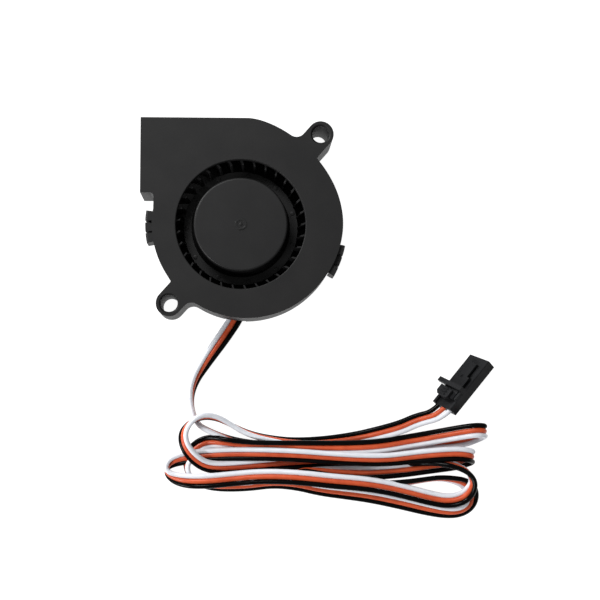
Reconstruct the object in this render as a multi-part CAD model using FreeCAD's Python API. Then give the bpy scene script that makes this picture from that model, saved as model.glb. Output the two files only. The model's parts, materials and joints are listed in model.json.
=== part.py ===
"""Radial part-cooling blower, 51 x 51 x 15 mm, with its flat three-wire lead and latching plug.

Every piece is a solid of its own, in millimetres. The fan lies on its rear face with the intake
up, +Z along the rotor's axis. The shapes are drawn about the rotor's axis, and export() then puts
the origin at the middle of the casing's rear face.
"""
import FreeCAD
import Part
import math
import os

Vec = FreeCAD.Vector
UP = Vec(0, 0, 1)

# ---------------------------------------------------------------- casing
ORIGIN = (0.56, 1.68)   # middle of the casing's rear face, from the rotor's axis
DEPTH = 15.0            # rear face to front face
COVER_T = 1.5           # front cover's plate
SPLIT_Z = DEPTH - COVER_T
FLOOR_T = 1.2
WALL = 1.3
OUTLET_X = -25.3        # the outlet's open face
OUTLET_LOW_Y = 7.85
TOP_Y = 27.0
TOP_END_X = 1.0         # where the straight top wall turns into the scroll
SCROLL = [(84, 27.05), (75, 26.7), (60, 25.95), (40, 25.5), (20, 25.65), (0, 25.8), (330, 25.1),
          (300, 24.4), (270, 23.65), (240, 22.95), (210, 22.45), (190, 22.3),
          (170, 22.3)]          # degrees, radius
TONGUE_X = -21.9        # the scroll's end, just under the outlet
TONGUE_R = 1.0

LUGS = [(20.15, 23.0), (-17.85, -20.0)]
LUG_R = 3.3
LUG_HOLE_R = 2.15
LUG_SINK_R = 2.55       # small chamfer round each hole's front end
LUG_REACH = 9.0         # length of the web from the hole towards the rotor's axis
LUG_FOOT = 5.0          # from the hole to where the web meets the scroll
LUG_FILLET_R = 2.4
LUG_SHARP_R = 0.5

INTAKE_R = 16.35
INTAKE_ROUND = 0.25
LIP_T = 0.8             # locating lip under the cover
LIP_H = 1.2
LIP_GAP = 0.08
LABEL_R = 10.2
LABEL_T = 0.15
LABEL_RECESS = 0.3
LABEL_GAP = 0.15

CLIPS = [(171.7, 191.5, 22.3), (-28.9, -11.3, 25.15)]   # start and end in degrees, wall radius
CLIP_T = 1.75
CLIP_EDGE = 0.5         # bevel along a clip's outer upper edge
CLIP_GAP = 0.12         # between a loop and the casing's side
CLIP_ROOT = 1.4         # how far a loop's upper end reaches into the cover
CLIP_LEG = 2.3
CLIP_LOW_Z = 6.6
CLIP_TOP_Z = 14.1
CLIP_BAR_H = 1.5
CATCH_GAP = 0.5         # between the catch and the loop's legs
CATCH_LIFT = 0.15       # between the catch and the loop's bar under it

# ---------------------------------------------------------------- rotor
HUB_R = 11.85
HUB_TOP_Z = 14.6
HUB_TOP_T = 1.1
HUB_WALL = 0.9
WEB_TOP_Z = 6.3
WEB_T = 1.0
BLADES = 33
BLADE_IN_R = 14.65
BLADE_TOP_IN_R = 15.35  # the blades' inner edges lean outwards to this radius
BLADE_OUT_R = 18.6
BLADE_T = 0.42
BLADE_ROOT = 0.15       # how far each blade reaches into the web
BLADE_CURVE = 0.28      # share of the sweep that is turned by half way out
BLADE_LOW_Z = 3.2
BLADE_TOP_Z = 13.15
BLADE_SWEEP = 9.0       # degrees that the outer end leads the inner end
HOOP_T = 0.7
PIN_MARK_R = 0.55
PIN_MARK_AT_R = 13.85
PIN_MARKS = BLADES // 3
MARK_H = 0.12           # height of the moulding marks
GATE_R = (0.4, 1.0, 1.5)
FLARE = (0.8, 3.0)      # the hub's foot, out and up
HUB_ROUND = 0.5

SHAFT_R = 1.0
SHAFT_LOW_Z = 1.7
SHAFT_TOP_Z = 13.4
BOSS_R = 2.2
BOSS_LOW_Z = 11.4
YOKE_R = 10.9
YOKE_T = 0.65
YOKE_LOW_Z = 4.9
YOKE_FIT = 0.05
SHAFT_CHAMFER = 0.15
RETAINER_Z = (2.15, 2.4)        # groove near the shaft's lower end
RETAINER_GROOVE_R = 0.8
RETAINER_R = 1.75
RETAINER_SLACK = 0.03
MAGNET_T = 1.0
MAGNET_Z = (5.1, 10.4)

# ---------------------------------------------------------------- stator
RUN = 0.02              # radial running clearance of the shaft in its bearings
TUBE_IN_R = 2.5
TUBE_OUT_R = 3.2
TUBE_Z = (0.9, 11.1)
SOCKET_R = 4.3          # casing boss that holds the bearing tube
SOCKET_TOP_Z = 4.4
BEARING_H = 2.2
SHIELD_R = (1.45, 2.1)  # the recessed shield on each face of a bearing
SHIELD_DEPTH = 0.15
LOWER_BEARING_Z = 2.6
UPPER_BEARING_Z = 8.6
SPRING_R = 1.95
SPRING_WIRE = 0.32
SPRING_TURNS = 5
BOARD_R = 9.8
BOARD_Z = 2.35
BOARD_T = 0.8
BOARD_GAP = 0.6         # from the board's rim to the roof over the wires
BOARD_HOLE_GAP = 0.1
BOARD_FLAT = 1.2        # cut off the board's upper side
CHIP_BOX = ((5.2, 8.2), (-3.9, -1.4), 0.9)      # x and y ranges, and height
CHIP_LEGS = 3
CHIP_LEG = (0.4, 0.6, 0.3)      # width, length and height of a leg
CHIP_LEG_PITCH = 0.95
CHIP_LEG_FROM = 0.3
SMALL_PARTS = [(-6.8, -3.2), (-6.8, 2.4), (6.0, 3.4)]
SMALL_PART = (0.9, 1.6, 0.55)
JOINT_R = (0.55, 0.42)
JOINT_BACK = 1.1
JOINT_SINK = 0.12
CORE_Z = (5.6, 9.6)
CORE_R = 8.9
CORE_HUB_R = 4.4
POLES = 4
POLE_W = 2.6
SHOE_T = 1.1
SHOE_HALF = 36.0        # degrees
INSULATOR_T = 0.5
INSULATOR_HALF = 30.0   # degrees
INSULATOR_INSET = 0.2
ARM_R = (3.6, 8.6)        # from inside the hub to inside the shoe
COIL_R = (4.9, 7.3)
COIL_T = 1.0
COIL_END = 0.6          # thickness over the core's ends, as a share of that at its sides
COIL_ROUND = 0.5

# ---------------------------------------------------------------- lead
WIRE_D = 1.3
WIRES = ["black", "orange", "white"]
CHANNEL_W = 4.3
CHANNEL_TOP_Z = 1.95
CHANNEL_ROOF = 0.7
CHANNEL_IN_Y = -8.4
CHANNEL_FLARE = [(0.0, 0.0), (0.0, 0.0), (0.3, 0.9), (0.9, 1.1)]    # extra on its left and right
KEEPER_H = 0.45
KEEPER_W = 1.2
KEEPER_END = 0.6        # how far each keeper's bar reaches into the floor
KEEPERS_Y = [-13.5, -21.9]
LEAD_Z = KEEPER_H + WIRE_D / 2 + 0.05
# Lead from the fan to the hank: x, y, height of the lowest wire's axis, and how far the flat lead
# leans over on its edge, in degrees (0 lies flat with the black wire on its left).
LEAD_ROUTE = [(1.0, -9.0, LEAD_Z, 0), (0.9, -15.0, LEAD_Z, 0), (-0.3, -21.5, LEAD_Z, 0),
              (-4.3, -27.6, 0.8, 12), (-8.6, -33.6, 0.7, 35), (-12.3, -39.6, 0.7, 60),
              (-13.0, -45.0, 0.7, 75), (-11.0, -50.0, 0.8, 80)]
# From the hank to the plug, the black wire on the left.
TAIL_ROUTE = [(33.0, -54.2, 2.4, 15), (39.4, -52.5, 2.2, 15), (45.0, -50.4, 1.6, 25)]
# Outline of the loose hank, and its height.
HANK = [(-15.8, -54.2), (-15.6, -50.0), (-11.3, -45.8), (-3.0, -48.6), (9.0, -52.9), (22.0, -53.4),
        (36.0, -52.2), (50.0, -49.9), (61.0, -48.0), (65.2, -52.0), (62.4, -58.0), (62.6, -66.0),
        (61.5, -72.5), (55.0, -75.6), (42.8, -73.4), (28.0, -70.2), (8.5, -67.6), (-6.7, -68.6),
        (-18.0, -66.8), (-21.9, -62.0), (-19.8, -57.8)]
HANK_H = 7.2
HANK_ROUND = 1.2

# ---------------------------------------------------------------- plug, drawn along its own X
PLUG_L = 16.0
PLUG_W = 6.0
PLUG_T = 3.8
PLUG_AT = (52.1, -45.2)     # wire end of the plug's lowest edge, in plan
PLUG_HEADING = 50.7         # degrees
PLUG_ROLL = 40.0            # degrees about its own axis
PLUG_PITCH = 2.0            # wire to wire
PLUG_LIFT = 0.05
PLUG_ROUND = 0.25
MOUTH_DEPTH = 6.0
MOUTH_WALL = 0.65
MOUTH_H = 2.05
RAKE = 1.2                  # how far the mating end slants back across the plug
WIRE_RAKE = 0.8             # how far the wire end slants out
WIRE_HOLE_R = 0.72
WIRE_SEAT = 2.5             # depth that a wire goes into the plug
WIRE_STRAIGHT = 2.4         # straight stretch of each wire outside the plug
WIRE_SPREAD = 0.9           # share of the pitch that the wires have there
WIRE_AXIS_Z = 1.75
BRIDGE_X = (4.2, 5.15)      # the bridge's wire side, at its tip and at the plug's other side
BRIDGE_L = 1.2
BRIDGE_Z = (5.15, 6.2)
BRIDGE_LEG = 0.8
BRIDGE_TIP = 1.3            # how far the bridge stands out past the plug's side
BRIDGE_TIP_T = 1.45
BRIDGE_SINK = 0.3
GUARD = ((2.6, 5.6), (-2.85, -2.3), (3.6, 4.7))     # low wall beside the pad
LATCH_HALF = (2.0, 1.2)     # half the lever's width, at the pad and at the pivot
LATCH_STEP_X = 9.4
LATCH_T = 0.7
LATCH_X = (2.4, 13.4)
LATCH_LOW_Z = 3.97
LATCH_SLOT_T = 0.95
LATCH_GAP = 0.25
PAD_X = (1.4, 4.1)
PAD_Y = (-1.1, 2.8)
PAD_CORNER = 0.7
PAD_T = 1.2
RIDGES_X = (1.95, 2.75, 3.55)
RIDGE_L = 0.4
RIDGE_H = 0.35
RIDGE_Y = (0.0, 1.7)
HOOK_X = (8.5, 9.4)
HOOK_Y = (0.1, 2.0)
HOOK_H = 0.5
CONTACT_HALF = 0.32         # half the width of a terminal's square contact
CONTACT_BORE = 0.16
CONTACT_BACK = 1.6          # from the mating end to the contact's front
CONTACT_BORE_L = 2.0
CONTACT_ROOT = 1.0
CRIMP_R = 0.45
HINGE_R = 0.4               # the lever's pivot roll
HINGE_Z = PLUG_T - LATCH_SLOT_T + HINGE_R + 0.1
HINGE_GAP = 0.08
MERGE = 0.1                 # overlap of shapes that are fused


def ring(inner, outer, low, high):
    """A plain ring about the rotor's axis, or a disc where inner is 0."""
    solid = Part.makeCylinder(outer, high - low, Vec(0, 0, low))
    if inner > 0:
        solid = solid.cut(Part.makeCylinder(inner, high - low, Vec(0, 0, low)))
    return solid


def block(x, y, z):
    """A box from its (low, high) pairs."""
    return Part.makeBox(x[1] - x[0], y[1] - y[0], z[1] - z[0], Vec(x[0], y[0], z[0]))


def polar(radius, degrees, z=0.0):
    angle = math.radians(degrees)
    return Vec(radius * math.cos(angle), radius * math.sin(angle), z)


def turned(shape, degrees):
    copy = shape.copy()
    copy.rotate(Vec(0, 0, 0), UP, degrees)
    return copy


def fused(shapes):
    return shapes[0].multiFuse(shapes[1:]).removeSplitter()


def sector(inner, outer, start, end, low, high):
    """Part of a ring between two angles."""
    middle = (start + end) / 2
    edges = [Part.Arc(polar(outer, start), polar(outer, middle), polar(outer, end)).toShape(),
             Part.makeLine(polar(outer, end), polar(inner, end)),
             Part.Arc(polar(inner, end), polar(inner, middle), polar(inner, start)).toShape(),
             Part.makeLine(polar(inner, start), polar(outer, start))]
    face = Part.Face(Part.Wire(edges))
    face.translate(Vec(0, 0, low))
    return face.extrude(Vec(0, 0, high - low))


def prism(plan, low, high):
    """A solid with upright sides over the (x, y) corners of its plan."""
    corners = [Vec(x, y, low) for x, y in plan]
    return Part.Face(Part.makePolygon(corners + corners[:1])).extrude(Vec(0, 0, high - low))


def extruded(edges, low, high):
    face = Part.Face(Part.Wire(edges))
    face.translate(Vec(0, 0, low))
    return face.extrude(Vec(0, 0, high - low))


# ---------------------------------------------------------------- casing shapes
def scroll_edge(inset):
    """The spiral wall, clockwise from the straight top wall to the tongue."""
    points = [Vec(TOP_END_X, TOP_Y - inset, 0)] + [polar(r - inset, a) for a, r in SCROLL]
    curve = Part.BSplineCurve()
    curve.interpolate(Points=points)
    return curve.toShape(), points


def outlet_edges(points, tongue_x, low_y, top_y, open_x):
    """From the scroll's end round the tongue, along the outlet, and back to the scroll's start."""
    bend = TONGUE_R * (1 - math.sqrt(0.5))
    tongue = Vec(tongue_x, low_y - TONGUE_R, 0)
    middle = Vec(tongue_x - bend, low_y - bend, 0)
    start = Vec(tongue_x - TONGUE_R, low_y, 0)
    low = Vec(open_x, low_y, 0)
    high = Vec(open_x, top_y, 0)
    return [Part.makeLine(points[-1], tongue), Part.Arc(tongue, middle, start).toShape(),
            Part.makeLine(start, low), Part.makeLine(low, high), Part.makeLine(high, points[0])]


def outer_edges():
    spiral, points = scroll_edge(0)
    return [spiral] + outlet_edges(points, TONGUE_X, OUTLET_LOW_Y, TOP_Y, OUTLET_X)


def cavity_edges(inset):
    """The air space: the casing's outline less its wall, and open at the outlet."""
    spiral, points = scroll_edge(inset)
    return [spiral] + outlet_edges(points, TONGUE_X + inset, OUTLET_LOW_Y + inset, TOP_Y - inset,
                                   OUTLET_X - WALL)


def lug(x, y, low, high):
    """A round lug and the web that joins it to the scroll."""
    eye = Part.makeCylinder(LUG_R, high - low, Vec(x, y, low))
    web = Part.makeBox(LUG_REACH, 2 * LUG_R, high - low, Vec(0, -LUG_R, low))
    web.rotate(Vec(0, 0, 0), UP, math.degrees(math.atan2(-y, -x)))
    web.translate(Vec(x, y, 0))
    return eye.fuse(web)


def upright_edge(solid, near, height):
    """The vertical edge that is closest to a point in plan."""
    upright = [edge for edge in solid.Edges
               if abs(edge.BoundBox.ZLength - height) < 0.01 and edge.BoundBox.XLength < 0.01]
    return min(upright, key=lambda edge: math.hypot(edge.Vertexes[0].X - near[0],
                                                    edge.Vertexes[0].Y - near[1]))


def casing_prism(low, high):
    """The casing's whole outline with both lugs, filleted where their webs meet the scroll."""
    solid = extruded(outer_edges(), low, high)
    for x, y in LUGS:
        solid = solid.fuse(lug(x, y, low, high))
    solid = solid.removeSplitter()
    for x, y in LUGS:
        reach = math.hypot(x, y)
        away = Vec(x / reach, y / reach, 0)
        across = Vec(-away.y, away.x, 0)
        foot = away * (reach - LUG_FOOT)
        for side, radius in ((LUG_R, LUG_FILLET_R), (-LUG_R, LUG_SHARP_R)):
            near = foot + across * side
            edge = upright_edge(solid, (near.x, near.y), high - low)
            solid = solid.makeFillet(radius, [edge])
    return solid


def base_housing():
    body = casing_prism(0, SPLIT_Z)
    body = body.cut(extruded(cavity_edges(WALL), FLOOR_T, DEPTH))
    extras = [ring(0, SOCKET_R, FLOOR_T, SOCKET_TOP_Z), channel_cover()]
    extras += [catch(start, end, wall) for start, end, wall in CLIPS]
    body = body.fuse(extras)
    body = body.cut(Part.makeCylinder(TUBE_OUT_R, DEPTH, Vec(0, 0, TUBE_Z[0])))
    body = body.cut(channel_space())
    for y in KEEPERS_Y:
        half = CHANNEL_W / 2 + KEEPER_END
        x = channel_x(y)
        body = body.fuse(block((x - half, x + half), (y - KEEPER_W / 2, y + KEEPER_W / 2),
                               (0, KEEPER_H)))
    for x, y in LUGS:
        body = body.cut(Part.makeCylinder(LUG_HOLE_R, DEPTH, Vec(x, y, 0)))
    body = body.cut(ring(0, LABEL_R + LABEL_GAP, 0, LABEL_RECESS).cut(channel_space()))
    return body.removeSplitter()


def channel_x(y):
    """The middle of the wire channel, which leans over near the rim."""
    route = LEAD_ROUTE
    for (x0, y0, _, _), (x1, y1, _, _) in zip(route, route[1:]):
        if y1 <= y <= y0:
            return x0 + (x1 - x0) * (y0 - y) / (y0 - y1)
    return route[0][0]


def channel_outline(grow):
    """The channel in plan, wider by grow all round, and flaring out towards the rim."""
    half = CHANNEL_W / 2 + grow
    left = []
    right = []
    for (x, y, _, _), (more_left, more_right) in zip(LEAD_ROUTE, CHANNEL_FLARE):
        left.append(Vec(x - half - more_left, y, 0))
        right.append(Vec(x + half + more_right, y, 0))
    left[0].y = CHANNEL_IN_Y + grow
    right[0].y = CHANNEL_IN_Y + grow
    points = left + right[::-1]
    return [Part.makeLine(a, b) for a, b in zip(points, points[1:] + points[:1])]


def channel_space():
    return extruded(channel_outline(0), -1, CHANNEL_TOP_Z)


def channel_cover():
    """The raised floor over the wire channel, outside the circuit board."""
    cover = extruded(channel_outline(CHANNEL_ROOF), FLOOR_T, CHANNEL_TOP_Z + CHANNEL_ROOF)
    cover = cover.cut(Part.makeCylinder(BOARD_R + BOARD_GAP, DEPTH))
    return cover.common(extruded(outer_edges(), 0, DEPTH))


def clip_keep(wall):
    """The space that a clip may fill: its outer upper edge is bevelled."""
    outer = wall + CLIP_T
    bevel_z = CLIP_TOP_Z - CLIP_EDGE
    return fused([ring(0, outer, 0, bevel_z), Part.makeCone(outer, outer - CLIP_EDGE, CLIP_EDGE,
                                                            Vec(0, 0, bevel_z))])


def catch(start, end, wall):
    """The block on the casing's side that a snap loop hooks under."""
    leg = math.degrees((CLIP_LEG + CATCH_GAP) / wall)
    solid = sector(wall - WALL / 2, wall + CLIP_T, start + leg, end - leg,
                   CLIP_LOW_Z + CLIP_BAR_H + CATCH_LIFT, SPLIT_Z - CATCH_LIFT)
    return solid.common(clip_keep(wall))


def snap_loop(start, end, wall):
    """A loop on the cover's edge: two legs joined by a bar at their lower end."""
    leg = math.degrees(CLIP_LEG / wall)
    inner = wall - CLIP_ROOT
    outer = wall + CLIP_T
    loop = fused([sector(inner, outer, start, start + leg, CLIP_LOW_Z, CLIP_TOP_Z),
                  sector(inner, outer, end - leg, end, CLIP_LOW_Z, CLIP_TOP_Z),
                  sector(inner, outer, start, end, CLIP_LOW_Z, CLIP_LOW_Z + CLIP_BAR_H)])
    loop = loop.common(clip_keep(wall))
    return loop.cut(extruded(cavity_edges(-CLIP_GAP), 0, SPLIT_Z))


def front_cover():
    plate = casing_prism(SPLIT_Z, DEPTH)
    plate = plate.cut(Part.makeCylinder(INTAKE_R, DEPTH, Vec(0, 0, SPLIT_Z - COVER_T)))
    mouth = [edge for edge in plate.Edges
             if abs(edge.BoundBox.ZMin - DEPTH) < 0.01 and edge.BoundBox.ZLength < 0.01
             and abs(edge.BoundBox.XLength - 2 * INTAKE_R) < 0.1]
    plate = plate.makeFillet(INTAKE_ROUND, mouth)
    lip = extruded(cavity_edges(WALL + LIP_GAP), SPLIT_Z - LIP_H, SPLIT_Z)
    lip = lip.cut(extruded(cavity_edges(WALL + LIP_GAP + LIP_T), SPLIT_Z - LIP_H, SPLIT_Z))
    lip = lip.common(block((OUTLET_X + 1.0, 30), (-30, 30), (0, DEPTH)))
    plate = plate.fuse([lip] + [snap_loop(*clip) for clip in CLIPS])
    for x, y in LUGS:
        plate = plate.cut(Part.makeCylinder(LUG_HOLE_R, DEPTH, Vec(x, y, SPLIT_Z)))
        sink = Part.makeCone(LUG_HOLE_R, LUG_SINK_R, LUG_SINK_R - LUG_HOLE_R,
                             Vec(x, y, DEPTH - LUG_SINK_R + LUG_HOLE_R))
        plate = plate.cut(sink)
    return plate.removeSplitter()


# ---------------------------------------------------------------- rotor shapes
def blade():
    """One blade, curved towards the rotor's turning direction, its inner edge leaning outwards."""
    half_in = math.degrees(BLADE_T / 2 / BLADE_IN_R)
    half_out = math.degrees(BLADE_T / 2 / BLADE_OUT_R)
    root_r = BLADE_IN_R - BLADE_ROOT
    mid_r = (BLADE_IN_R + BLADE_OUT_R) / 2
    mid = BLADE_SWEEP * BLADE_CURVE
    a = polar(root_r, half_in)
    b = polar(mid_r, mid + half_in)
    c = polar(BLADE_OUT_R, BLADE_SWEEP + half_out)
    d = polar(BLADE_OUT_R, BLADE_SWEEP - half_out)
    e = polar(mid_r, mid - half_in)
    f = polar(root_r, -half_in)
    edges = [Part.Arc(a, b, c).toShape(), Part.makeLine(c, d), Part.Arc(d, e, f).toShape(),
             Part.makeLine(f, a)]
    lean = Part.makeCone(root_r, BLADE_TOP_IN_R, BLADE_TOP_Z - WEB_TOP_Z, Vec(0, 0, WEB_TOP_Z))
    return extruded(edges, BLADE_LOW_Z, BLADE_TOP_Z).cut(lean)


def impeller():
    low = WEB_TOP_Z - WEB_T
    cup = ring(0, HUB_R, low, HUB_TOP_Z)
    top = [edge for edge in cup.Edges if abs(edge.BoundBox.ZMin - HUB_TOP_Z) < 0.01]
    cup = cup.makeFillet(HUB_ROUND, top)
    inside = HUB_R - HUB_WALL
    cup = cup.cut(ring(0, inside, low, HUB_TOP_Z - HUB_TOP_T))
    web = ring(inside, BLADE_IN_R, low, WEB_TOP_Z)
    foot = Vec(0, 0, WEB_TOP_Z)
    flare = Part.makeCone(HUB_R + FLARE[0], HUB_R, FLARE[1], foot)
    flare = flare.cut(Part.makeCylinder(inside, FLARE[1], foot))
    boss = ring(SHAFT_R, BOSS_R, BOSS_LOW_Z, HUB_TOP_Z - HUB_TOP_T)
    hoop_in = BLADE_OUT_R - HOOP_T
    hoops = [ring(hoop_in, BLADE_OUT_R, BLADE_TOP_Z - HOOP_T, BLADE_TOP_Z),
             ring(hoop_in, BLADE_OUT_R, BLADE_LOW_Z, BLADE_LOW_Z + HOOP_T)]
    pitch = 360.0 / BLADES
    blades = [turned(blade(), pitch * i) for i in range(BLADES)]
    step = 360.0 / PIN_MARKS
    marks = [Part.makeCylinder(PIN_MARK_R, MARK_H, polar(PIN_MARK_AT_R, (i + 0.5) * step, WEB_TOP_Z))
             for i in range(PIN_MARKS)]
    dot_r, gate_in, gate_out = GATE_R
    gate = [ring(gate_in, gate_out, HUB_TOP_Z, HUB_TOP_Z + MARK_H),
            ring(0, dot_r, HUB_TOP_Z, HUB_TOP_Z + MARK_H)]
    return fused([cup, web, flare, boss] + gate + hoops + blades + marks)


def rotor_yoke():
    top = HUB_TOP_Z - HUB_TOP_T
    side = ring(YOKE_R - YOKE_T, YOKE_R, YOKE_LOW_Z, top)
    return side.fuse(ring(BOSS_R + YOKE_FIT, YOKE_R, top - YOKE_T, top)).removeSplitter()


def shaft():
    pin = ring(0, SHAFT_R, SHAFT_LOW_Z, SHAFT_TOP_Z)
    ends = [edge for edge in pin.Edges if edge.BoundBox.ZLength < 0.01]
    pin = pin.makeChamfer(SHAFT_CHAMFER, ends)
    return pin.cut(ring(RETAINER_GROOVE_R, SHAFT_R + MERGE, *RETAINER_Z))


def retaining_ring():
    low, high = RETAINER_Z
    return ring(RETAINER_GROOVE_R, RETAINER_R, low + RETAINER_SLACK, high - RETAINER_SLACK)


# ---------------------------------------------------------------- motor and bearings
def bearing(low):
    """A miniature ball bearing: shielded outer and inner rings drawn as one piece."""
    solid = ring(SHAFT_R + RUN, TUBE_IN_R, low, low + BEARING_H)
    for z in (low, low + BEARING_H - SHIELD_DEPTH):
        solid = solid.cut(ring(*SHIELD_R, z, z + SHIELD_DEPTH))
    return solid


def preload_spring():
    low = LOWER_BEARING_Z + BEARING_H + SPRING_WIRE / 2
    height = UPPER_BEARING_Z - SPRING_WIRE / 2 - low
    helix = Part.makeHelix(height / SPRING_TURNS, height, SPRING_R)
    profile = Part.Wire(Part.makeCircle(SPRING_WIRE / 2, Vec(SPRING_R, 0, 0), Vec(0, 1, 0)))
    spring = Part.Wire(helix).makePipeShell([profile], True, True)
    spring.translate(Vec(0, 0, low))
    return spring


def stator_core():
    low, high = CORE_Z
    angles = [360 / POLES * i for i in range(POLES)]
    arms = [turned(block(ARM_R, (-POLE_W / 2, POLE_W / 2), CORE_Z), angle) for angle in angles]
    shoes = [sector(CORE_R - SHOE_T, CORE_R, angle - SHOE_HALF, angle + SHOE_HALF, low, high)
             for angle in angles]
    return fused([ring(TUBE_OUT_R, CORE_HUB_R, low, high)] + arms + shoes)


def insulator(low):
    """A plastic end piece that keeps the windings off the core, on one end of it."""
    high = low + INSULATOR_T
    hub = ring(TUBE_OUT_R, CORE_HUB_R, low, high)
    angles = [360 / POLES * i for i in range(POLES)]
    arms = [turned(block(ARM_R, (-POLE_W / 2, POLE_W / 2), (low, high)), angle) for angle in angles]
    shoes = [sector(CORE_R - SHOE_T, CORE_R - INSULATOR_INSET, angle - INSULATOR_HALF,
                    angle + INSULATOR_HALF, low, high) for angle in angles]
    return fused([hub] + arms + shoes)


def coil(index):
    """One winding, wrapped round a pole and both of its insulators."""
    low = CORE_Z[0] - INSULATOR_T
    high = CORE_Z[1] + INSULATOR_T
    half = POLE_W / 2
    end = COIL_T * COIL_END
    outside = block(COIL_R, (-half - COIL_T, half + COIL_T), (low - end, high + end))
    outside = outside.makeFillet(COIL_ROUND, [edge for edge in outside.Edges
                                              if edge.BoundBox.XLength > COIL_R[1] - COIL_R[0] - 0.01])
    return turned(outside.cut(block(COIL_R, (-half, half), (low, high))), index * 360 / POLES)


def circuit_board():
    board = ring(SOCKET_R + BOARD_HOLE_GAP, BOARD_R, BOARD_Z, BOARD_Z + BOARD_T)
    return board.cut(block((-BOARD_R, BOARD_R), (BOARD_R - BOARD_FLAT, BOARD_R), (0, DEPTH)))


def driver_chip():
    top = BOARD_Z + BOARD_T
    x, y, height = CHIP_BOX
    width, length, leg_height = CHIP_LEG
    chip = block(x, y, (top, top + height))
    starts = [x[0] + CHIP_LEG_FROM + i * CHIP_LEG_PITCH for i in range(CHIP_LEGS)]
    legs = [block((start, start + width), (y[0] - length, y[0]), (top, top + leg_height))
            for start in starts]
    return fused([chip] + legs)


def chip_parts():
    """Two ceramic capacitors and a resistor, as separate solids in one node."""
    top = BOARD_Z + BOARD_T
    width, length, height = SMALL_PART
    return Part.makeCompound([block((x, x + width), (y, y + length), (top, top + height))
                              for x, y in SMALL_PARTS])


def solder_joints():
    """The three joints under the board where the wires end, as separate solids in one node."""
    low = LEAD_Z + WIRE_D / 2 - JOINT_SINK
    joints = []
    for lane in (-1, 0, 1):
        place = Vec(LEAD_ROUTE[0][0] + lane * WIRE_D, CHANNEL_IN_Y - JOINT_BACK, low)
        joints.append(Part.makeCone(*JOINT_R, BOARD_Z - low, place))
    return Part.makeCompound(joints)


# ---------------------------------------------------------------- lead shapes
def lane_points(route, lane):
    """One wire's route: the flat lead's middle line, moved sideways by whole wires."""
    points = []
    for i, (x, y, z, lean) in enumerate(route):
        before = route[max(i - 1, 0)]
        after = route[min(i + 1, len(route) - 1)]
        along = Vec(after[0] - before[0], after[1] - before[1], 0).normalize()
        left = Vec(-along.y, along.x, 0)
        angle = math.radians(lean)
        offset = left * (lane * WIRE_D * math.cos(angle))
        rise = WIRE_D * (abs(math.sin(angle)) - lane * math.sin(angle))
        points.append(Vec(x, y, z + rise) + offset)
    return points


def tube(points, name):
    """A round wire along straight runs joined by arcs as large as the runs allow."""
    edges = []
    radii = []
    at = points[0]
    for before, corner, after in zip(points, points[1:], points[2:]):
        back = (before - corner).normalize()
        ahead = (after - corner).normalize()
        half_turn = (math.pi - back.getAngle(ahead)) / 2
        reach = 0.45 * min((before - corner).Length, (after - corner).Length)
        radius = reach / math.tan(half_turn)
        radii.append(radius)
        start = corner + back * reach
        end = corner + ahead * reach
        bisector = (back + ahead).normalize()
        middle = corner + bisector * (radius / math.cos(half_turn) - radius)
        edges += [Part.makeLine(at, start), Part.Arc(start, middle, end).toShape()]
        at = end
    edges.append(Part.makeLine(at, points[-1]))
    spine = Part.Wire(edges)
    direction = points[1] - points[0]
    profile = Part.Wire(Part.makeCircle(WIRE_D / 2, points[0], direction))
    solid = spine.makePipeShell([profile], True, True)
    expected = math.pi * (WIRE_D / 2) ** 2 * spine.Length
    print(name, "length %.1f, tightest radius %.1f, volume ratio %.3f"
          % (spine.Length, min(radii), solid.Volume / expected))
    return solid


def hank():
    points = [Vec(x, y, 0) for x, y in HANK]
    curve = Part.BSplineCurve()
    curve.interpolate(Points=points, PeriodicFlag=True)
    solid = extruded([curve.toShape()], 0, HANK_H)
    top = [edge for edge in solid.Edges if edge.BoundBox.ZMin > HANK_H - 0.01]
    return solid.makeFillet(HANK_ROUND, top)


# ---------------------------------------------------------------- plug shapes
def plug_place():
    """From the plug's own frame to the row's: X to the mating end, Z out of the latch's face."""
    heading = math.radians(PLUG_HEADING)
    roll = math.radians(PLUG_ROLL)
    along = Vec(math.cos(heading), math.sin(heading), 0)
    right = Vec(math.sin(heading), -math.cos(heading), 0)
    across = -(right * math.cos(roll) + UP * math.sin(roll))
    out = UP * math.cos(roll) - right * math.sin(roll)
    low_edge = Vec(PLUG_AT[0], PLUG_AT[1], PLUG_LIFT)
    start = low_edge - across * (PLUG_W / 2)
    return FreeCAD.Matrix(along.x, across.x, out.x, start.x, along.y, across.y, out.y, start.y,
                          along.z, across.z, out.z, start.z, 0, 0, 0, 1)


def plug_housing():
    half = PLUG_W / 2
    body = prism([(0, -half), (PLUG_L, -half), (PLUG_L - RAKE, half), (-WIRE_RAKE, half)], 0, PLUG_T)
    along = [edge for edge in body.Edges if edge.BoundBox.XLength > PLUG_L / 2]
    body = body.makeFillet(PLUG_ROUND, along)
    body = body.cut(block((PLUG_L - MOUTH_DEPTH, PLUG_L + 1), (-half + MOUTH_WALL, half - MOUTH_WALL),
                          (MOUTH_WALL, MOUTH_WALL + MOUTH_H)))
    body = body.fuse([bridge(), block(*GUARD)])
    floor_z = PLUG_T - LATCH_SLOT_T
    wide, narrow = [width + LATCH_GAP for width in LATCH_HALF]
    body = body.cut(block((-1, LATCH_STEP_X + LATCH_GAP), (-wide, wide), (floor_z, LATCH_LOW_Z)))
    body = body.cut(block((0, LATCH_X[1] + MERGE), (-narrow, narrow), (floor_z, LATCH_LOW_Z)))
    body = body.cut(pivot(HINGE_R + HINGE_GAP, narrow))
    for lane in (-1, 0, 1):
        hole = Part.makeCylinder(WIRE_HOLE_R, PLUG_L - MOUTH_DEPTH + WIRE_RAKE + MERGE,
                                 Vec(-WIRE_RAKE, lane * PLUG_PITCH, WIRE_AXIS_Z), Vec(1, 0, 0))
        body = body.cut(hole)
    return body


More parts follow.
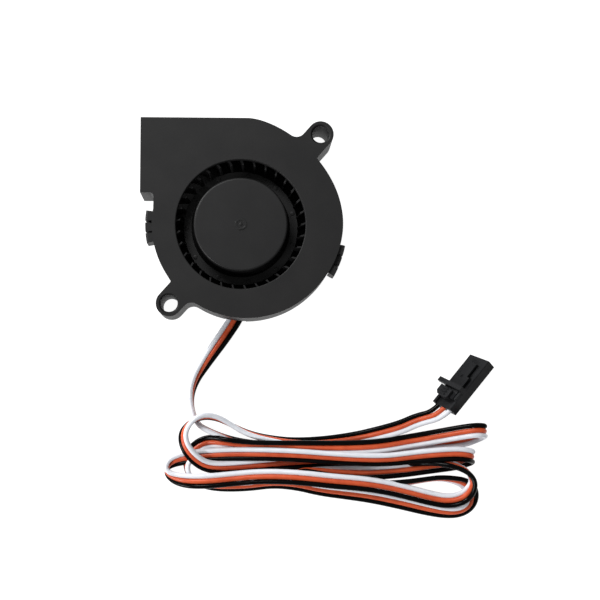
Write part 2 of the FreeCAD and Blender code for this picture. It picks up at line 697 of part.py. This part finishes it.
def bridge():
    """The arch over the lever, which stands out past the plug on one side."""
    half = PLUG_W / 2
    tip = half + BRIDGE_TIP
    tip_x, other_x = BRIDGE_X
    low, high = BRIDGE_Z
    arch = prism([(tip_x, tip), (tip_x + BRIDGE_L, tip), (other_x + BRIDGE_L, -half),
                  (other_x, -half)], PLUG_T - BRIDGE_SINK, high)
    gap = half - BRIDGE_LEG
    arch = arch.cut(block((0, PLUG_L), (-gap, gap), (0, low)))
    return arch.cut(block((0, PLUG_L), (half, tip), (0, high - BRIDGE_TIP_T)))


def pivot(radius, half):
    """The lever's round pivot across the plug."""
    return Part.makeCylinder(radius, 2 * half, Vec(LATCH_X[1], -half, HINGE_Z), Vec(0, 1, 0))


def plug_latch():
    """The lever: pivot roll at the mating end, arm under the bridge, ridged thumb pad."""
    low = LATCH_LOW_Z
    high = low + LATCH_T
    wide, narrow = LATCH_HALF
    shapes = [block((LATCH_X[0], LATCH_STEP_X), (-wide, wide), (low, high)),
              block((LATCH_X[0], LATCH_X[1]), (-narrow, narrow), (low, high)),
              pivot(HINGE_R, narrow),
              block((LATCH_X[1] - 2 * HINGE_R, LATCH_X[1]), (-narrow, narrow), (HINGE_Z, high))]
    (x0, x1), (y0, y1), c = PAD_X, PAD_Y, PAD_CORNER
    top = high + PAD_T
    shapes.append(prism([(x0 + c, y0), (x1, y0), (x1, y1), (x0 + c, y1), (x0, y1 - c), (x0, y0 + c)],
                        high - MERGE, top))
    shapes += [block((x, x + RIDGE_L), RIDGE_Y, (top, top + RIDGE_H)) for x in RIDGES_X]
    corners = [Vec(HOOK_X[0], HOOK_Y[0], high), Vec(HOOK_X[0], HOOK_Y[0], high + HOOK_H),
               Vec(HOOK_X[1], HOOK_Y[0], high)]
    hook = Part.Face(Part.makePolygon(corners + corners[:1]))
    shapes.append(hook.extrude(Vec(0, HOOK_Y[1] - HOOK_Y[0], 0)))
    return fused(shapes)


def terminal(lane):
    """A crimped socket contact: a square box in front of the wire's crimp."""
    y = lane * PLUG_PITCH
    back = PLUG_L - MOUTH_DEPTH - CONTACT_ROOT
    front = PLUG_L - CONTACT_BACK
    contact = block((back, front), (y - CONTACT_HALF, y + CONTACT_HALF),
                    (WIRE_AXIS_Z - CONTACT_HALF, WIRE_AXIS_Z + CONTACT_HALF))
    contact = contact.cut(block((front - CONTACT_BORE_L, front), (y - CONTACT_BORE, y + CONTACT_BORE),
                                (WIRE_AXIS_Z - CONTACT_BORE, WIRE_AXIS_Z + CONTACT_BORE)))
    crimp = Part.makeCylinder(CRIMP_R, back - WIRE_SEAT, Vec(WIRE_SEAT, y, WIRE_AXIS_Z), Vec(1, 0, 0))
    return contact.fuse(crimp)


def rear_label():
    disc = ring(0, LABEL_R, LABEL_RECESS - LABEL_T, LABEL_RECESS)
    return disc.cut(extruded(channel_outline(LABEL_GAP), -1, DEPTH))


def tail_ends():
    """Where each wire of the tail enters the plug, as (outside point, seat point)."""
    place = plug_place()
    ends = {}
    for lane in (-1, 0, 1):
        outside = place.multiply(Vec(-WIRE_STRAIGHT, lane * PLUG_PITCH * WIRE_SPREAD, WIRE_AXIS_Z))
        seat = place.multiply(Vec(WIRE_SEAT, lane * PLUG_PITCH, WIRE_AXIS_Z))
        ends[lane] = (outside, seat)
    return ends


def fan_pieces():
    pieces = {
        "base_housing": base_housing(),
        "front_cover": front_cover(),
        "rear_label": rear_label(),
        "impeller": impeller(),
        "rotor_yoke": rotor_yoke(),
        "magnet_ring": ring(YOKE_R - YOKE_T - MAGNET_T, YOKE_R - YOKE_T, *MAGNET_Z),
        "shaft": shaft(),
        "shaft_retaining_ring": retaining_ring(),
        "bearing_tube": ring(TUBE_IN_R, TUBE_OUT_R, *TUBE_Z),
        "lower_bearing": bearing(LOWER_BEARING_Z),
        "upper_bearing": bearing(UPPER_BEARING_Z),
        "preload_spring": preload_spring(),
        "stator_core": stator_core(),
        "lower_insulator": insulator(CORE_Z[0] - INSULATOR_T),
        "upper_insulator": insulator(CORE_Z[1]),
        "circuit_board": circuit_board(),
        "driver_chip": driver_chip(),
        "chip_parts": chip_parts(),
        "solder_joints": solder_joints(),
    }
    for i in range(POLES):
        pieces["coil_%d" % (i + 1)] = coil(i)
    return pieces


def placed(shape):
    """A piece of the plug, moved from the plug's own frame to where the plug lies."""
    shape.Placement = FreeCAD.Placement(plug_place())
    return shape


def lead_pieces():
    pieces = {"cable_hank": hank()}
    ends = tail_ends()
    for lane, colour in zip((1, 0, -1), WIRES):
        name = "lead_" + colour
        pieces[name] = tube(lane_points(LEAD_ROUTE, lane), name)
        name = "tail_" + colour
        points = lane_points(TAIL_ROUTE, lane) + list(ends[lane])
        pieces[name] = tube(points, name)
        pieces["terminal_" + colour] = placed(terminal(lane))
    pieces["plug_housing"] = placed(plug_housing())
    pieces["plug_latch"] = placed(plug_latch())
    return pieces


def export():
    fan = fan_pieces()
    boxes = FreeCAD.BoundBox()
    for shape in fan.values():
        boxes.add(shape.BoundBox)
    print("fan box about the rotor's axis", boxes)
    shift = Vec(-ORIGIN[0], -ORIGIN[1], 0)
    os.makedirs("parts", exist_ok=True)
    for name, shape in {**fan, **lead_pieces()}.items():
        shape.translate(shift)
        shape.exportStep("parts/%s.step" % name)
        print(name, "solids", len(shape.Solids), "valid", shape.isValid(),
              "volume %.1f" % shape.Volume)


export()
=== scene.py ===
"""Looks of a radial part-cooling blower with its folded three-wire lead and latching plug.

Metres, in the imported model's frame. Sizes that come from the part's design are written in
millimetres about the rotor's axis, and spot() turns them into points of the frame.
"""
import json
import math

import bmesh
import bpy
from mathutils import Matrix, Vector

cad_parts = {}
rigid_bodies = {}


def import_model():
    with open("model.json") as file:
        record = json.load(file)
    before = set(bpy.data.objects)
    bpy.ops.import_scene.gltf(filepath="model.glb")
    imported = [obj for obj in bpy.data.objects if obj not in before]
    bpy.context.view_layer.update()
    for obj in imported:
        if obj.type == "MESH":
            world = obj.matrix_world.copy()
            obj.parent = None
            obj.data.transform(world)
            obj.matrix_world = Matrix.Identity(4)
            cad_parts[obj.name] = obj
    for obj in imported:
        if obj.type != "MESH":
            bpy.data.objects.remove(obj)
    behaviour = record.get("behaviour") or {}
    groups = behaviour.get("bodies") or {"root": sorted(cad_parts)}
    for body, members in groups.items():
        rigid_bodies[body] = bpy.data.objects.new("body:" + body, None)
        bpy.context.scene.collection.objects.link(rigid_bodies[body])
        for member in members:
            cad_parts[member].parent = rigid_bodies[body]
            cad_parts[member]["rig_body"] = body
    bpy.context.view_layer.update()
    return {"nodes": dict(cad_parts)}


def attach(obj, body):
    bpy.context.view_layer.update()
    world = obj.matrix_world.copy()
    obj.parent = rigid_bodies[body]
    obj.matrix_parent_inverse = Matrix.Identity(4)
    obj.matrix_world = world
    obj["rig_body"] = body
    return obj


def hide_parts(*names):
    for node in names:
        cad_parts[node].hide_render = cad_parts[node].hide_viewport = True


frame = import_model()
NODE_SLOTS = {name: node.data.materials[0].name for name, node in frame["nodes"].items()}

MM = 0.001
AXIS_X, AXIS_Y = -0.56, -1.68      # the rotor's axis in the frame, mm
UP = Vector((0, 0, 1))
MIDDLE = Vector((0.015, -0.02, 0))  # on the floor, about the middle of the whole object, m


def spot(x, y, z):
    """A point of the frame in metres, from millimetres about the rotor's axis."""
    return Vector((x + AXIS_X, y + AXIS_Y, z)) * MM


def link(name, data):
    """A new object in the scene."""
    piece = bpy.data.objects.new(name, data)
    bpy.context.scene.collection.objects.link(piece)
    return piece


# ---------------------------------------------------------------- camera
EYE = spot(1.05, -45.1, 359.0)
TARGET = spot(14.9, -19.12, 15.0)
LENS = 82.66
SENSOR = 36.0
NEAREST = 0.01                      # nothing closer to the camera than this is drawn, m


def camera():
    """Looks down on the object from above the hank, with the frame's Y towards the picture's top."""
    data = bpy.data.cameras.new("camera")
    data.lens = LENS
    data.sensor_width = SENSOR
    data.clip_start = NEAREST
    eye = link("camera", data)
    ahead = (TARGET - EYE).normalized()
    right = ahead.cross(Vector((0, 1, 0))).normalized()
    above = right.cross(ahead)
    eye.matrix_world = Matrix.Translation(EYE) @ Matrix((right, above, -ahead)).transposed().to_4x4()
    bpy.context.scene.camera = eye


# ---------------------------------------------------------------- lead
WIRE_D = 1.3                        # mm
WIRES = {"black": 1, "orange": 0, "white": -1}      # place of each wire in the flat lead
# The flat lead's middle line: x, y, height of its lowest wire's axis, and how far the lead leans
# over on its edge, in degrees. At 0 it lies flat with the black wire on the left of its way, at 90
# it stands on edge with the white wire on top, and at 270 with the black one on top.
FROM_FAN = [(1.0, -9.0, 1.15, 0), (0.9, -15.0, 1.15, 0), (-0.3, -21.5, 1.15, 0),
            (-4.3, -27.6, 0.8, 12), (-8.6, -33.6, 0.7, 35), (-12.3, -39.6, 0.7, 64),
            (-13.0, -45.0, 0.7, 88), (-11.3, -50.1, 0.65, 90), (-8.4, -51.9, 0.65, 86),
            (-5.3, -53.2, 0.65, 86), (-2.2, -54.4, 0.65, 75), (1.4, -55.8, 0.65, 40)]
LOWEST_RUN = [(7.1, -56.7, 0.65, 10), (15.5, -57.0, 0.65, 0), (25.9, -56.6, 0.65, 0),
              (36.3, -55.8, 0.65, 0), (44.1, -55.4, 0.65, 0), (50.6, -55.1, 0.65, 0),
              (55.5, -54.8, 0.65, 0), (59.1, -54.2, 0.65, 0)]
UPPER_RIGHT_FOLD = [(61.5, -53.2, 0.65, 0), (63.2, -52.4, 1.3, 0), (63.3, -52.0, 3.3, 180),
                    (61.3, -51.8, 4.1, 180)]
UPPER_RUN = [(58.0, -52.2, 3.5, 180), (53.1, -53.1, 2.5, 180), (47.6, -54.1, 2.05, 180),
             (42.2, -55.0, 2.0, 180), (36.2, -56.0, 2.9, 180), (28.9, -56.4, 3.25, 180),
             (21.9, -56.4, 3.2, 185), (15.4, -56.2, 2.7, 205), (9.7, -55.8, 2.2, 235),
             (4.5, -55.7, 2.1, 238), (-0.1, -55.5, 2.3, 230), (-3.8, -55.1, 2.6, 225),
             (-7.1, -54.7, 2.2, 205), (-9.5, -55.2, 1.4, 188)]
HIDDEN_LEFT_FOLD = [(-11.6, -56.6, 0.8, 165), (-13.3, -58.7, 0.65, 130), (-13.8, -61.0, 0.65, 100),
                    (-13.1, -63.6, 0.65, 95), (-10.8, -65.4, 0.65, 105)]
LOWER_RUN = [(-7.4, -66.1, 0.65, 120), (-3.3, -66.3, 0.65, 127), (2.5, -66.1, 0.65, 128),
             (8.4, -65.3, 0.65, 130), (14.7, -65.8, 0.65, 135), (20.7, -67.2, 0.65, 140),
             (27.2, -68.0, 0.65, 145), (33.9, -68.9, 0.65, 150), (41.5, -70.5, 0.65, 152),
             (48.0, -72.1, 0.65, 150), (53.4, -73.1, 0.65, 140)]
LOWER_RIGHT_FOLD = [(56.9, -72.9, 0.65, 136), (59.3, -71.5, 0.65, 142), (60.2, -69.3, 0.65, 165),
                    (59.8, -67.0, 0.65, 200)]
RETURN_RUN = [(57.9, -65.4, 0.65, 230), (55.0, -64.6, 0.65, 250), (51.6, -64.2, 0.65, 260),
              (48.5, -64.5, 0.65, 262), (44.1, -65.2, 0.65, 258), (38.4, -65.8, 0.65, 252),
              (31.1, -65.9, 0.65, 250), (24.6, -65.7, 0.65, 258)]
SHORT_FOLD = [(19.6, -65.6, 0.65, 266), (16.2, -65.5, 0.65, 270), (14.3, -64.6, 0.65, 270),
              (14.3, -62.9, 0.65, 270), (16.4, -62.0, 0.65, 264)]
SHORT_RUN = [(20.0, -62.1, 0.65, 240), (24.5, -62.6, 0.65, 210), (29.5, -62.9, 0.65, 185),
             (34.0, -62.9, 0.65, 175), (41.5, -62.3, 0.65, 175), (46.7, -61.6, 0.65, 176),
             (51.9, -60.9, 0.65, 178), (55.7, -60.4, 0.65, 180)]
MIDDLE_RIGHT_FOLD = [(58.2, -59.7, 0.65, 180), (59.9, -59.1, 1.2, 180), (59.9, -58.5, 3.4, 4),
                     (58.1, -58.1, 4.1, 6)]
MIDDLE_RUN = [(55.4, -57.9, 4.0, 12), (49.5, -58.2, 3.6, 18), (43.9, -58.8, 3.0, 25),
              (37.4, -59.5, 2.8, 32), (29.6, -59.3, 2.8, 33), (21.9, -58.8, 2.8, 33),
              (15.4, -58.3, 2.8, 32), (8.9, -58.0, 2.9, 30), (2.5, -57.9, 2.6, 28),
              (-3.2, -57.9, 2.2, 28), (-8.4, -58.2, 2.0, 25), (-12.6, -58.7, 1.95, 22),
              (-15.7, -59.2, 1.7, 30)]
LEFT_FOLD = [(-17.9, -60.1, 1.4, 48), (-19.0, -61.5, 1.1, 82), (-18.4, -63.0, 1.3, 115)]
TOP_RUN = [(-16.5, -64.1, 2.2, 145), (-13.7, -64.7, 3.5, 165), (-10.4, -64.8, 4.4, 176),
           (-6.6, -64.6, 4.5, 180), (-1.4, -64.1, 4.2, 180), (4.5, -63.6, 4.3, 180),
           (11.0, -63.6, 4.7, 180), (17.5, -64.1, 4.8, 180), (24.5, -64.9, 4.5, 180),
           (30.9, -65.4, 4.2, 180), (37.4, -66.4, 3.6, 180), (43.4, -67.8, 3.1, 180),
           (49.1, -69.3, 2.9, 180), (53.5, -70.1, 2.9, 184)]
RIGHT_LOOP = [(57.1, -69.4, 3.0, 196), (59.1, -67.6, 3.0, 222), (60.0, -65.3, 3.0, 252),
              (59.2, -63.0, 2.8, 275), (56.8, -61.4, 2.4, 285), (53.5, -60.3, 2.0, 290),
              (49.8, -59.5, 1.2, 312)]
BURIED_RUN = [(45.4, -59.3, 0.7, 355), (38.9, -59.2, 0.65, 360), (31.6, -59.2, 0.65, 362),
              (24.6, -59.4, 0.65, 365), (18.1, -60.0, 0.65, 370), (11.6, -60.3, 0.65, 376),
              (5.1, -60.9, 0.65, 382), (-0.7, -61.4, 0.8, 386), (-5.9, -61.5, 1.4, 392),
              (-9.2, -60.8, 2.2, 398)]
LEFT_LOOP = [(-11.6, -59.1, 3.2, 402), (-13.4, -57.0, 3.9, 406), (-14.4, -54.8, 4.1, 412),
             (-14.5, -52.5, 4.2, 420), (-13.4, -50.5, 4.4, 438), (-11.3, -48.8, 4.4, 458),
             (-8.6, -48.1, 3.6, 466)]
TO_PLUG = [(-5.6, -48.7, 2.4, 462), (-2.5, -50.3, 1.4, 452), (0.6, -52.1, 0.8, 443),
           (4.3, -53.4, 0.65, 438), (8.2, -54.2, 0.65, 434), (12.8, -54.9, 0.65, 425),
           (18.1, -55.2, 0.65, 405), (23.8, -54.9, 0.65, 392), (30.3, -54.0, 0.9, 383),
           (36.2, -52.6, 1.4, 380), (41.7, -51.1, 1.6, 378), (45.8, -49.2, 1.6, 385)]
ROUTE = (FROM_FAN + LOWEST_RUN + UPPER_RIGHT_FOLD + UPPER_RUN + HIDDEN_LEFT_FOLD + LOWER_RUN
         + LOWER_RIGHT_FOLD + RETURN_RUN + SHORT_FOLD + SHORT_RUN + MIDDLE_RIGHT_FOLD + MIDDLE_RUN
         + LEFT_FOLD + TOP_RUN + RIGHT_LOOP + BURIED_RUN + LEFT_LOOP + TO_PLUG)

# ---------------------------------------------------------------- plug's place
PLUG_HEADING = math.radians(50.7)
PLUG_ROLL = math.radians(40.0)
PLUG_CORNER = (52.1, -45.2, 0.05)   # wire end of the plug's lowest edge
PLUG_W = 6.0
PLUG_PITCH = 2.0
WIRE_AXIS_Z = 1.75                  # height of the wires over the plug's back face
WIRE_SEAT = 2.5                     # how far each wire goes into the plug
WIRE_STRAIGHT = 2.4                 # and how far it comes straight out of it
WIRE_GATHER = 0.9                   # share of the pitch that is left there


def plug_frame():
    """From the plug's own millimetres (X to the mating end, Z out of the lever's face) to metres."""
    along = Vector((math.cos(PLUG_HEADING), math.sin(PLUG_HEADING), 0))
    right = Vector((math.sin(PLUG_HEADING), -math.cos(PLUG_HEADING), 0))
    across = -(right * math.cos(PLUG_ROLL) + UP * math.sin(PLUG_ROLL))
    out = UP * math.cos(PLUG_ROLL) - right * math.sin(PLUG_ROLL)
    start = spot(*PLUG_CORNER) - across * (PLUG_W / 2 * MM)
    turn = Matrix((along, across, out)).transposed().to_4x4()
    return Matrix.Translation(start) @ turn @ Matrix.Scale(MM, 4)


def lane_points(lane):
    """One wire's control points: the flat lead's line, moved by whole wires across it."""
    points = []
    for i, (x, y, z, lean) in enumerate(ROUTE):
        before = ROUTE[max(i - 1, 0)]
        after = ROUTE[min(i + 1, len(ROUTE) - 1)]
        along = Vector((after[0] - before[0], after[1] - before[1])).normalized()
        angle = math.radians(lean)
        side = lane * WIRE_D * math.cos(angle)
        rise = WIRE_D * (abs(math.sin(angle)) - lane * math.sin(angle))
        points.append(spot(x - along.y * side, y + along.x * side, z + rise))
    plug = plug_frame()
    points.append(plug @ Vector((-WIRE_STRAIGHT, lane * PLUG_PITCH * WIRE_GATHER, WIRE_AXIS_Z)))
    points.append(plug @ Vector((WIRE_SEAT, lane * PLUG_PITCH, WIRE_AXIS_Z)))
    return points


def wire(colour, lane, material):
    """A round wire along its own smooth line, from the channel in the casing to its terminal."""
    data = bpy.data.curves.new("wire_" + colour, "CURVE")
    data.dimensions = "3D"
    data.resolution_u = 10
    data.bevel_depth = WIRE_D / 2 * MM
    data.bevel_resolution = 5
    data.use_fill_caps = True
    line = data.splines.new("NURBS")
    points = lane_points(lane)
    line.points.add(len(points) - 1)
    for target, point in zip(line.points, points):
        target.co = (*point, 1.0)
    line.order_u = 3
    line.use_endpoint_u = True
    data.materials.append(material)
    piece = link("wire_" + colour, data)
    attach(piece, "casing")
    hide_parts("cable_hank", "lead_" + colour, "tail_" + colour)
    return piece


# ---------------------------------------------------------------- materials
def shader(name):
    """A new node material with one plain surface shader."""
    material = bpy.data.materials.new(name)
    material.use_nodes = True
    nodes = material.node_tree.nodes
    nodes.clear()
    surface = nodes.new("ShaderNodeBsdfPrincipled")
    output = nodes.new("ShaderNodeOutputMaterial")
    material.node_tree.links.new(surface.outputs["BSDF"], output.inputs["Surface"])
    return material, surface


def noise(material, size, detail=3.0):
    """A noise pattern in the piece's own space; size is that of its lumps, in millimetres."""
    nodes, links = material.node_tree.nodes, material.node_tree.links
    place = nodes.new("ShaderNodeTexCoord")
    pattern = nodes.new("ShaderNodeTexNoise")
    pattern.inputs["Scale"].default_value = 1 / (size * MM)
    pattern.inputs["Detail"].default_value = detail
    links.new(place.outputs["Object"], pattern.inputs["Vector"])
    return pattern.outputs["Fac"]


def ramp(material, value, low, high, start=0.35, end=0.65):
    """Maps a pattern to the colours low and high."""
    nodes, links = material.node_tree.nodes, material.node_tree.links
    node = nodes.new("ShaderNodeValToRGB")
    node.color_ramp.elements[0].position = start
    node.color_ramp.elements[1].position = end
    node.color_ramp.elements[0].color = (*low, 1)
    node.color_ramp.elements[1].color = (*high, 1)
    links.new(value, node.inputs["Fac"])
    return node.outputs["Color"]


def span(material, value, low, high):
    """Maps a pattern to a range of numbers."""
    nodes, links = material.node_tree.nodes, material.node_tree.links
    node = nodes.new("ShaderNodeMapRange")
    node.inputs["From Min"].default_value = 0.3
    node.inputs["From Max"].default_value = 0.7
    node.inputs["To Min"].default_value = low
    node.inputs["To Max"].default_value = high
    links.new(value, node.inputs["Value"])
    return node.outputs["Result"]


def bump(material, surface, value, height, strength=1.0):
    """Raises the surface by the pattern; height in millimetres. Bumps may be stacked."""
    nodes, links = material.node_tree.nodes, material.node_tree.links
    node = nodes.new("ShaderNodeBump")
    node.inputs["Distance"].default_value = height * MM
    node.inputs["Strength"].default_value = strength
    links.new(value, node.inputs["Height"])
    before = surface.inputs["Normal"]
    if before.is_linked:
        links.new(before.links[0].from_socket, node.inputs["Normal"])
    links.new(node.outputs["Normal"], before)


def moulded(name, low, high, rough, grain, depth, specular=0.5):
    """Moulded plastic: clouded colour, and the fine texture of the mould's spark-eroded face."""
    material, surface = shader(name)
    links = material.node_tree.links
    fine = noise(material, grain, 2.0)
    broad = noise(material, 9.0, 4.0)
    links.new(ramp(material, broad, low, high), surface.inputs["Base Color"])
    links.new(span(material, fine, *rough), surface.inputs["Roughness"])
    surface.inputs["Specular IOR Level"].default_value = specular
    bump(material, surface, fine, depth)
    return material


def vinyl(name, low, high, rough, specular=0.35):
    """A wire's soft PVC: a slight sheen, faint clouding, and long shallow waves from the die."""
    material, surface = shader(name)
    links = material.node_tree.links
    links.new(ramp(material, noise(material, 2.5), low, high), surface.inputs["Base Color"])
    links.new(span(material, noise(material, 0.35), *rough), surface.inputs["Roughness"])
    surface.inputs["Specular IOR Level"].default_value = specular
    bump(material, surface, noise(material, 2.0), 0.02, 0.3)
    return material


def metal(name, low, high, rough, grain=0.15):
    """Bare metal with a fine grain in its colour, polish and surface."""
    material, surface = shader(name)
    links = material.node_tree.links
    pattern = noise(material, grain)
    links.new(ramp(material, pattern, low, high), surface.inputs["Base Color"])
    links.new(span(material, pattern, *rough), surface.inputs["Roughness"])
    surface.inputs["Metallic"].default_value = 1.0
    bump(material, surface, pattern, 0.004, 0.4)
    return material


# Colours at the low and high ends of each pattern, range of roughness, and then the sizes that
# moulded(), vinyl() and metal() name.
MOULDED = {
    "casing_plastic": ((0.0075, 0.0075, 0.0078), (0.0105, 0.0103, 0.0105), (0.5, 0.66), 0.16, 0.012, 0.28),
    "impeller_plastic": ((0.008, 0.008, 0.0083), (0.011, 0.011, 0.0113), (0.42, 0.54), 0.12, 0.006, 0.28),
    "plug_plastic": ((0.011, 0.0114, 0.0122), (0.021, 0.0215, 0.023), (0.26, 0.4), 0.25, 0.008, 0.03),
    "label_paper": ((0.68, 0.68, 0.67), (0.76, 0.76, 0.75), (0.7, 0.9), 0.2, 0.006),
    "insulator_plastic": ((0.6, 0.57, 0.5), (0.7, 0.67, 0.6), (0.4, 0.55), 0.3, 0.005),
    "ring_plastic": ((0.5, 0.5, 0.46), (0.6, 0.6, 0.56), (0.3, 0.45), 0.2, 0.003),
    "board": ((0.02, 0.11, 0.035), (0.04, 0.19, 0.06), (0.22, 0.4), 0.3, 0.008),
    "chip": ((0.012, 0.012, 0.012), (0.022, 0.022, 0.022), (0.5, 0.7), 0.08, 0.006),
    "magnet": ((0.03, 0.027, 0.025), (0.05, 0.047, 0.044), (0.55, 0.75), 0.12, 0.01),
}
VINYL = {
    "wire_black": ((0.001, 0.001, 0.0011), (0.002, 0.002, 0.0022), (0.14, 0.2), 0.1),
    "wire_orange": ((0.57, 0.078, 0.025), (0.67, 0.105, 0.035), (0.26, 0.38)),
    "wire_white": ((0.75, 0.775, 0.83), (0.81, 0.83, 0.88), (0.28, 0.4)),
}
METAL = {
    "yoke_steel": ((0.44, 0.44, 0.45), (0.58, 0.58, 0.59), (0.25, 0.42)),
    "shaft_steel": ((0.6, 0.6, 0.62), (0.7, 0.7, 0.71), (0.1, 0.2)),
    "tube_brass": ((0.66, 0.46, 0.18), (0.78, 0.57, 0.26), (0.2, 0.35)),
    "bearing_steel": ((0.5, 0.5, 0.51), (0.62, 0.62, 0.64), (0.15, 0.3)),
    "core_steel": ((0.26, 0.26, 0.28), (0.36, 0.36, 0.38), (0.35, 0.5)),
    "coil_copper": ((0.55, 0.22, 0.08), (0.78, 0.36, 0.15), (0.2, 0.4), 0.22),
    "solder": ((0.55, 0.55, 0.57), (0.68, 0.68, 0.7), (0.2, 0.4)),
    "terminal_tin": ((0.55, 0.54, 0.52), (0.68, 0.67, 0.64), (0.22, 0.38)),
}


def materials():
    """One procedural material for each of the record's slots."""
    made = {name: moulded(name, *look) for name, look in MOULDED.items()}
    made.update({name: vinyl(name, *look) for name, look in VINYL.items()})
    made.update({name: metal(name, *look) for name, look in METAL.items()})
    return made


# ---------------------------------------------------------------- pieces made from the frame
SAME_POINT = 1e-6                   # m
FLAT = math.radians(0.6)            # faces that turn less than this are merged
SHARP = math.radians(30.0)          # edges that turn more than this are rounded
FACE_WEIGHT = 80                    # how much large faces decide the shading, out of 100


def finished(node, material, bevel, segments=3):
    """A CAD piece with its moulded edges: flat faces merged and every sharp edge rounded."""
    source = frame["nodes"][node]
    data = source.data.copy()
    mesh = bmesh.new()
    mesh.from_mesh(data)
    bmesh.ops.remove_doubles(mesh, verts=mesh.verts, dist=SAME_POINT)
    bmesh.ops.dissolve_limit(mesh, angle_limit=FLAT, verts=mesh.verts, edges=mesh.edges, delimit=set())
    bmesh.ops.recalc_face_normals(mesh, faces=mesh.faces)
    mesh.to_mesh(data)
    mesh.free()
    data.materials.clear()
    data.materials.append(material)
    if "custom_normal" in data.attributes:
        data.attributes.remove(data.attributes["custom_normal"])
    for face in data.polygons:
        face.use_smooth = True
    piece = link(node + "_finished", data)
    round_off = piece.modifiers.new("rounded edges", "BEVEL")
    round_off.width = bevel * MM
    round_off.segments = segments
    round_off.limit_method = "ANGLE"
    round_off.angle_limit = SHARP
    round_off.use_clamp_overlap = True
    round_off.harden_normals = False
    soften = piece.modifiers.new("normals", "WEIGHTED_NORMAL")
    soften.keep_sharp = True
    soften.weight = FACE_WEIGHT
    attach(piece, source["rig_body"])
    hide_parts(node)
    return piece


def dress_nodes(slots):
    """The frame's own pieces keep their shape and take the procedural material of their slot."""
    for name, slot in NODE_SLOTS.items():
        data = frame["nodes"][name].data
        data.materials.clear()
        data.materials.append(slots[slot])


# ---------------------------------------------------------------- floor and light
FLOOR_HALF = 6.0                    # m
FLOOR_DROP = 0.00005                # the floor lies just under the object, m
FLOOR_GLOW = 0.97
SKY_GLOW = 0.26
# Each lamp's place in metres, its width and height, and its power in watts.
SOFTBOXES = {
    "key": ((-0.18, 0.32, 0.52), (0.22, 0.16), 2.0),
    "fill": ((-0.42, -0.3, 0.36), (0.2, 0.16), 2.1),
    "rim": ((-0.5, 0.37, 0.14), (0.16, 0.16), 3.0),
}


def stage():
    """A pale paper floor that glows a little, so that the object throws hardly any shadow on it."""
    material, surface = shader("floor_paper")
    links = material.node_tree.links
    pattern = noise(material, 30.0)
    links.new(ramp(material, pattern, (0.3, 0.3, 0.3), (0.32, 0.32, 0.32)), surface.inputs["Base Color"])
    surface.inputs["Emission Color"].default_value = (1, 1, 1, 1)
    surface.inputs["Emission Strength"].default_value = FLOOR_GLOW
    surface.inputs["Roughness"].default_value = 0.9
    surface.inputs["Specular IOR Level"].default_value = 0.1
    mesh = bpy.data.meshes.new("floor")
    corners = [(x * FLOOR_HALF, y * FLOOR_HALF, 0) for x, y in ((-1, -1), (1, -1), (1, 1), (-1, 1))]
    mesh.from_pydata(corners, [], [(0, 1, 2, 3)])
    mesh.materials.append(material)
    floor = link("floor", mesh)
    floor.location = MIDDLE - UP * FLOOR_DROP


def softbox(name, place, size, watts):
    """A soft lamp that faces the object's middle."""
    data = bpy.data.lights.new(name, "AREA")
    data.shape = "RECTANGLE"
    data.size, data.size_y = size
    data.energy = watts
    lamp = link(name, data)
    lamp.location = place
    lamp.rotation_euler = (MIDDLE - Vector(place)).to_track_quat("-Z", "Y").to_euler()


def lights():
    """Three soft lamps under an even sky, and the plain view of their colours."""
    world = bpy.data.worlds.new("studio")
    bpy.context.scene.world = world
    world.use_nodes = True
    sky = world.node_tree.nodes["Background"]
    sky.inputs["Color"].default_value = (1, 1, 1, 1)
    sky.inputs["Strength"].default_value = SKY_GLOW
    for name, lamp in SOFTBOXES.items():
        softbox(name, *lamp)
    bpy.context.scene.view_settings.view_transform = "Standard"


# ---------------------------------------------------------------- the scene
camera()
slots = materials()
wires = [wire(colour, lane, slots["wire_" + colour]) for colour, lane in WIRES.items()]
dress_nodes(slots)
plug_parts = [finished("plug_housing", slots["plug_plastic"], 0.12),
              finished("plug_latch", slots["plug_plastic"], 0.08)]
finished("base_housing", slots["casing_plastic"], 0.15)
finished("front_cover", slots["casing_plastic"], 0.15)
finished("impeller", slots["impeller_plastic"], 0.08, 2)
stage()
lights()
